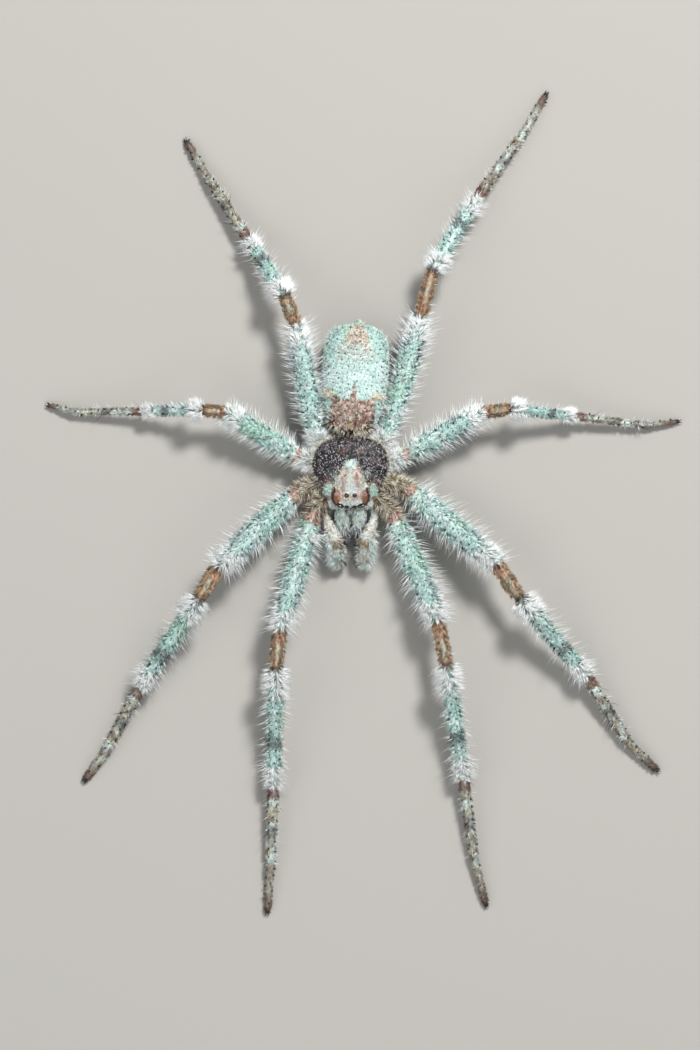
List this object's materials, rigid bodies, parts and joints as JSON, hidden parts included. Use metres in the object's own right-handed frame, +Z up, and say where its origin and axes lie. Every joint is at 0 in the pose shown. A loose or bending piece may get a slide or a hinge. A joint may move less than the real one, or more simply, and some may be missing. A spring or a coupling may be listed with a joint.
{
  "type": "huntsman spider",
  "caption": "Life-size museum model of a lichen-coloured huntsman spider, standing flat with its hairy legs spread.",
  "frame": {"origin": "on the floor, under the middle of the box round the whole spider", "axes": "+X to the spider's left, +Y towards its abdomen, the head points along -Y, +Z up"},
  "size_m": [0.0594, 0.0772, 0.0051],
  "materials": {
    "coat_mint": "pale aqua hairs with dark dots",
    "coat_brown": "reddish-brown and grey speckled short hairs",
    "carapace_dark": "dark brown with fine pale speckles",
    "leg_base": "olive-brown hairs",
    "jaw_grey": "grey-green with pale bristles",
    "fang_black": "glossy black",
    "eye_black": "wet black"
  },
  "bodies": {
    "root": {"abdomen": "coat_mint", "carapace": "carapace_dark", "chelicera_left": "jaw_grey", "chelicera_right": "jaw_grey", "eye_ale_left": "eye_black", "eye_ale_right": "eye_black", "eye_ame_left": "eye_black", "eye_ame_right": "eye_black", "eye_ple_left": "eye_black", "eye_ple_right": "eye_black", "eye_pme_left": "eye_black", "eye_pme_right": "eye_black", "fang_left": "fang_black", "fang_right": "fang_black", "leg1_left_coxa": "leg_base", "leg1_left_femur": "coat_mint", "leg1_left_foot": "coat_brown", "leg1_left_patella": "coat_brown", "leg1_left_tibia": "coat_mint", "leg1_right_coxa": "leg_base", "leg1_right_femur": "coat_mint", "leg1_right_foot": "coat_brown", "leg1_right_patella": "coat_brown", "leg1_right_tibia": "coat_mint", "leg2_left_coxa": "leg_base", "leg2_left_femur": "coat_mint", "leg2_left_foot": "coat_brown", "leg2_left_patella": "coat_brown", "leg2_left_tibia": "coat_mint", "leg2_right_coxa": "leg_base", "leg2_right_femur": "coat_mint", "leg2_right_foot": "coat_brown", "leg2_right_patella": "coat_brown", "leg2_right_tibia": "coat_mint", "leg3_left_coxa": "leg_base", "leg3_left_femur": "coat_mint", "leg3_left_foot": "coat_brown", "leg3_left_patella": "coat_brown", "leg3_left_tibia": "coat_mint", "leg3_right_coxa": "leg_base", "leg3_right_femur": "coat_mint", "leg3_right_foot": "coat_brown", "leg3_right_patella": "coat_brown", "leg3_right_tibia": "coat_mint", "leg4_left_coxa": "leg_base", "leg4_left_femur": "coat_mint", "leg4_left_foot": "coat_brown", "leg4_left_patella": "coat_brown", "leg4_left_tibia": "coat_mint", "leg4_right_coxa": "leg_base", "leg4_right_femur": "coat_mint", "leg4_right_foot": "coat_brown", "leg4_right_patella": "coat_brown", "leg4_right_tibia": "coat_mint", "palp_left": "coat_mint", "palp_right": "coat_mint", "pedicel": "carapace_dark", "spinnerets": "coat_brown", "sternum": "leg_base"}
  },
  "joints": []
}
